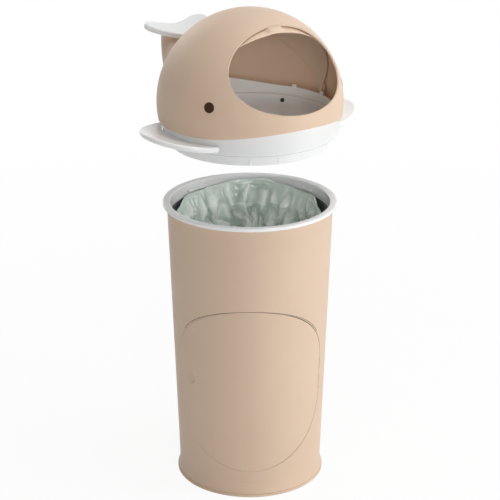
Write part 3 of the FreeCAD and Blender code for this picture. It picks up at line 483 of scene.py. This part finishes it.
film_around = 300
fine_rows = 72
coarse_rows = 28
fine_drop = 0.130
film_hang_z = 0.470
deep_drop = film_hang_z - bag_low.z - floor_corner
film_drops = [fine_drop * i / fine_rows for i in range(fine_rows)]
film_drops += [fine_drop + (deep_drop - fine_drop) * i / coarse_rows for i in range(coarse_rows + 1)]
film_points = []
film_held = []
film_taut = []
for row, drop in enumerate(film_drops):
    for k in range(film_around):
        turn = 360 * k / film_around - 180
        point = film_start(turn, drop)
        patch = 0.5 + 0.5 * noise.noise(Vector((point.x * 24, point.y * 24, point.z * 10)))
        gather = 0.6 * near(abs(turn), 178, 14) * near(point.z, 0.416, 0.022)
        slack = min(1.0, eased(drop, 0.004, 0.032) * (0.25 + 0.6 * patch) + gather)
        film_points.append(point)
        film_taut.append(1 - slack)
        film_held.append(1.0 if row in (0, len(film_drops) - 1) else 0.0)
film_points.append(Vector((0, 0, bag_low.z + 0.004)))
film_taut.append(1.0)
film_held.append(1.0)


def tube_faces(around, rows):
    """The quads of a tube of points in rows from the top down, facing out."""
    quads = []
    for i in range(rows - 1):
        for k in range(around):
            n = (k + 1) % around
            quads.append((i * around + k, (i + 1) * around + k, (i + 1) * around + n, i * around + n))
    return quads


film_faces = tube_faces(film_around, len(film_drops))
last_row = film_around * (len(film_drops) - 1)
for k in range(film_around):
    film_faces.append((last_row + k, len(film_points) - 1, last_row + (k + 1) % film_around))
bag_mesh = bpy.data.meshes.new("film_bag")
bag_mesh.from_pydata(film_points, [], film_faces)
bag = bpy.data.objects.new("film_bag", bag_mesh)
bpy.context.scene.collection.objects.link(bag)
for group_name, weights in (("held", film_held), ("taut", film_taut)):
    group = bag.vertex_groups.new(name=group_name)
    for i, weight in enumerate(weights):
        group.add([i], weight, "REPLACE")

# The film settles by cloth simulation: its slack grows while a little air pressure keeps it
# against a wall that has the shape of the ring, the hoop and the pail.
wall_around = 96
wall_rows = 60
wall_points = []
for i in range(wall_rows + 1):
    z = ring_high.z + (bag_low.z - ring_high.z) * i / wall_rows
    for k in range(wall_around):
        a = 2 * math.pi * k / wall_around
        wall_points.append((film_limit(z) * math.sin(a), -film_limit(z) * math.cos(a), z))
wall_mesh = bpy.data.meshes.new("film_wall")
wall_mesh.from_pydata(wall_points, [], [q[::-1] for q in tube_faces(wall_around, wall_rows + 1)])
wall = bpy.data.objects.new("film_wall", wall_mesh)
bpy.context.scene.collection.objects.link(wall)
wall.modifiers.new("stop", "COLLISION")
wall.collision.thickness_outer = 0.001
wall.collision.thickness_inner = 0.004
settle = bag.modifiers.new("settle", "CLOTH")
settle.settings.quality = 5
settle.settings.mass = 0.02
settle.settings.tension_stiffness = 12
settle.settings.compression_stiffness = 12
settle.settings.shear_stiffness = 6
settle.settings.bending_stiffness = 0.001
settle.settings.tension_damping = 3
settle.settings.compression_damping = 3
settle.settings.shear_damping = 3
settle.settings.bending_damping = 0.1
settle.settings.air_damping = 2
settle.settings.shrink_min = -0.34
settle.settings.shrink_max = 0.0
settle.settings.vertex_group_shrink = "taut"
settle.settings.vertex_group_mass = "held"
settle.settings.use_pressure = True
settle.settings.uniform_pressure_force = 0.35
settle.settings.effector_weights.gravity = 0.3
settle.collision_settings.distance_min = 0.001
settle.collision_settings.use_self_collision = False
settle_frames = 26
for step in range(1, settle_frames + 1):
    bpy.context.scene.frame_set(step)
settled = bpy.data.meshes.new_from_object(bag.evaluated_get(bpy.context.evaluated_depsgraph_get()))
bag.modifiers.clear()
bag.vertex_groups.clear()
bag.data = settled
bpy.data.objects.remove(wall)
bpy.context.scene.frame_set(1)
bag_mesh = settled
for face in bag_mesh.polygons:
    face.use_smooth = True

# Painted highlight and shade on the film: where a crease stands out towards the middle the film is coloured
# whiter, and in a hollow darker and greener, for the light on ridges and the shade in folds. Lower down,
# where the bag is full and taut, the difference is small.
film_shape = (len(film_drops), film_around)
radii = np.array([math.hypot(v.co.x, v.co.y) for v in bag_mesh.vertices][:-1]).reshape(film_shape)
heights = np.array([v.co.z for v in bag_mesh.vertices][:-1]).reshape(film_shape)
reach_around, reach_down = 7, 6
turned = [np.roll(radii, shift, 1) for shift in range(-reach_around, reach_around + 1)]
around_mean = sum(turned) / len(turned)
longer = np.pad(around_mean, ((reach_down, reach_down), (0, 0)), "edge")
moved = [longer[shift : shift + len(film_drops)] for shift in range(2 * reach_down + 1)]
local_mean = sum(moved) / len(moved)
crease_shade_height = 0.006
# This mark is 1 where the film stands out towards the middle and 0 in a hollow; it carries painted highlight
# and painted shade into the film's colour.
crease_shade = np.clip(0.5 + (local_mean - radii) / crease_shade_height, 0, 1)
full_below, fade_height = 0.37, 0.05
crease_shade = 0.5 + (crease_shade - 0.5) * (0.25 + 0.75 * np.clip((heights - full_below) / fade_height, 0, 1))
painted_crease_shade = bag_mesh.attributes.new("fold", "FLOAT", "POINT")
painted_crease_shade.data.foreach_set("value", np.append(crease_shade.ravel(), 0.5).astype(np.float32))

film = bpy.data.materials.new("polyethylene_film_green")
film.use_nodes = True
tree = film.node_tree
shader = tree.nodes["Principled BSDF"]
place = add(tree, "ShaderNodeTexCoord").outputs["Object"]
# The film's colour is darker green in hollows and near white on ridges: painted shade and painted highlight,
# read from the mark above.
fold = add(tree, "ShaderNodeAttribute", attribute_name="fold").outputs["Fac"]
tone = add(tree, "ShaderNodeMix", {0: fold, 6: colour("#B3C6BA"), 7: colour("#F4FAF6")}, data_type="RGBA")
tree.links.new(tone.outputs[2], shader.inputs["Base Color"])
long_way = add(tree, "ShaderNodeMapping", {"Vector": place, "Scale": (1.0, 1.0, 0.45)}).outputs[0]
wrinkle_mm = 14
crumple = {"Vector": long_way, "Scale": 1000 / wrinkle_mm, "Detail": 3.0}
wrinkle = add(tree, "ShaderNodeTexNoise", crumple).outputs[0]
skin = add(tree, "ShaderNodeBump", {"Strength": 0.6, "Distance": 0.003, "Height": wrinkle})
tree.links.new(skin.outputs[0], shader.inputs["Normal"])
shader.inputs["Roughness"].default_value = 0.20
shader.inputs["IOR"].default_value = 1.51
bag_mesh.materials.append(film)
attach(bag, "pail")
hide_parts("waste_bag")
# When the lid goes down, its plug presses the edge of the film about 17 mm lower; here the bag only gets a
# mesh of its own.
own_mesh(bag)

# Lid collar, plug and bowl: the white mouldings that carry the whale's head. The bowl is
# screwed inside the collar, and a soft grey seal lies in a groove under the flange.
dress(white, "lid_collar", "lid_bowl")
dark_steel = moulded("black_oxide_steel", "#4A4A4B", "#3C3C3D", 0.35, 0.45, 20, 1.2, 0.02)
dark_steel.node_tree.nodes["Principled BSDF"].inputs["Metallic"].default_value = 1.0
dress(dark_steel, "bowl_screws")
rubber = moulded("silicone_seal_grey", "#9A9C9D", "#8E9092", 0.6, 0.7, 30, 1.5, 0.05)
dress(rubber, "lid_gasket")

# Fins: thick white paddles of the same moulding as the collar, one at each side.
# Each is screwed to the collar from within.
dress(white, "fin_left", "fin_right")

# Dome: the whale's head, one beige moulding with an oval mouth. A rounded bead stiffens
# the edge of the mouth and catches the light.
dress(beige, "dome_shell", "tail_stalk", "visor_pins")
lid_turn = math.radians(35.0)
head_centre = Vector((0, 0, 0.6595))
head_front = Vector((math.sin(lid_turn), -math.cos(lid_turn), 0))
head_right = Vector((math.cos(lid_turn), math.sin(lid_turn), 0))
head_up = Vector((0, 0, 1))
mouth_tilt = math.radians(34.5)
mouth_half_width = 0.1025
mouth_half_height = 0.076
mouth_out = head_front * math.cos(mouth_tilt) + head_up * math.sin(mouth_tilt)
mouth_up = head_up * math.cos(mouth_tilt) - head_front * math.sin(mouth_tilt)
lip_radius = 0.0016
lip_reach = 0.1505
lip_steps = 200
lip_points = []
for step in range(lip_steps):
    a = 2 * math.pi * step / lip_steps
    across = mouth_half_width * math.cos(a)
    rise = mouth_half_height * math.sin(a)
    out = math.sqrt(lip_reach**2 - across**2 - rise**2)
    lip_points.append(head_centre + head_right * across + mouth_up * rise + mouth_out * out)
mouth_lip = bead("mouth_lip", lip_points, True, lip_radius, beige)
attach(mouth_lip, "lid")

# Visor: a thin beige shell that swings on two pins inside the dome and closes the mouth.
# Its front edge swells smoothly into a grip that stands flush with the dome.
visor_reach = 0.147
visor_wall = 0.002
edge_round = 0.0006
visor_front = 59.5
visor_span = 72.0
grip_rise = 0.0046
grip_half_width, grip_fade = 0.009, 0.010
pivot_bore = 0.00306
ear_radius = 0.010
front_steps = [visor_front + 0.35 * i for i in range(20)]
span_steps = front_steps + [visor_front + 8 + 4 * i for i in range(17)]
ear_steps = span_steps + [visor_front + visor_span + 6 * i for i in range(1, 48)]


def on_visor(angle, turn):
    """A point of the visor's outside: angle from its left pivot, turn up from the front about the pivots."""
    a = math.radians(angle)
    t = math.radians(turn)
    from_middle = visor_reach * math.radians(angle - 90)
    wide = 1 - eased(abs(from_middle), grip_half_width, grip_half_width + grip_fade)
    behind_edge = turn - visor_front
    deep = eased(behind_edge, 0.0, 1.6) * (1 - eased(behind_edge, 4.2, 6.2))
    reach = visor_reach + grip_rise * wide * deep
    around_pivots = head_front * math.cos(t) + head_up * math.sin(t)
    return head_centre + (head_right * -math.cos(a) + around_pivots * math.sin(a)) * reach


bore_angle = math.degrees(math.asin(pivot_bore / visor_reach))
ear_angle = math.degrees(math.asin(ear_radius / visor_reach))
shell_steps = 130
shell_angles = [ear_angle + (180 - 2 * ear_angle) * i / shell_steps for i in range(shell_steps + 1)]
shaped = bmesh.new()


def add_sheet(angles, turns, closed):
    """Adds a grid of the visor's outside to its mesh."""
    rows = [[shaped.verts.new(on_visor(angle, turn)) for turn in turns] for angle in angles]
    last = len(turns) if closed else len(turns) - 1
    for row, next_row in zip(rows, rows[1:]):
        for i in range(last):
            n = (i + 1) % len(turns)
            shaped.faces.new((row[i], next_row[i], next_row[n], row[n]))


add_sheet(shell_angles, span_steps, False)
ear_rings = 5
for start in (0, 180):
    side = 1 if start == 0 else -1
    ear_angles = []
    for i in range(ear_rings + 1):
        ear_angles.append(start + side * (bore_angle + (ear_angle - bore_angle) * i / ear_rings))
    add_sheet(ear_angles[::side], ear_steps, True)
bmesh.ops.remove_doubles(shaped, verts=shaped.verts, dist=1e-6)
bmesh.ops.recalc_face_normals(shaped, faces=shaped.faces)
shaped.faces.ensure_lookup_table()
middle_face = shaped.faces[0]
if middle_face.normal.dot(middle_face.calc_center_median() - head_centre) < 0:
    bmesh.ops.reverse_faces(shaped, faces=shaped.faces)
visor_mesh = bpy.data.meshes.new("visor_shell")
shaped.to_mesh(visor_mesh)
shaped.free()
visor_mesh.materials.append(beige)
visor_shell = bpy.data.objects.new("visor_shell", visor_mesh)
bpy.context.scene.collection.objects.link(visor_shell)
thicken = visor_shell.modifiers.new("wall", "SOLIDIFY")
thicken.thickness = visor_wall
thicken.offset = -1.0
soften = visor_shell.modifiers.new("edges", "BEVEL")
soften.width = edge_round
soften.segments = 2
soften.limit_method = "ANGLE"
plain(visor_shell)
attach(visor_shell, "visor")
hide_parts("visor")

# Eyes: flat dark brown buttons of satin ABS, pressed into shallow seats in the dome.
# Their weak shine keeps them dark from every side.
brown = moulded("satin_abs_brown", "#3A2110", "#321B0B", 0.50, 0.60, 12, 1.5, 0.03)
brown.node_tree.nodes["Principled BSDF"].inputs["Specular IOR Level"].default_value = 0.2
dress(brown, "eye_left", "eye_right")

# Tail fluke: a white plate of the collar's moulding across the top of the tail, its tips raised.
# It is screwed to the stalk.
dress(white, "tail_fluke")
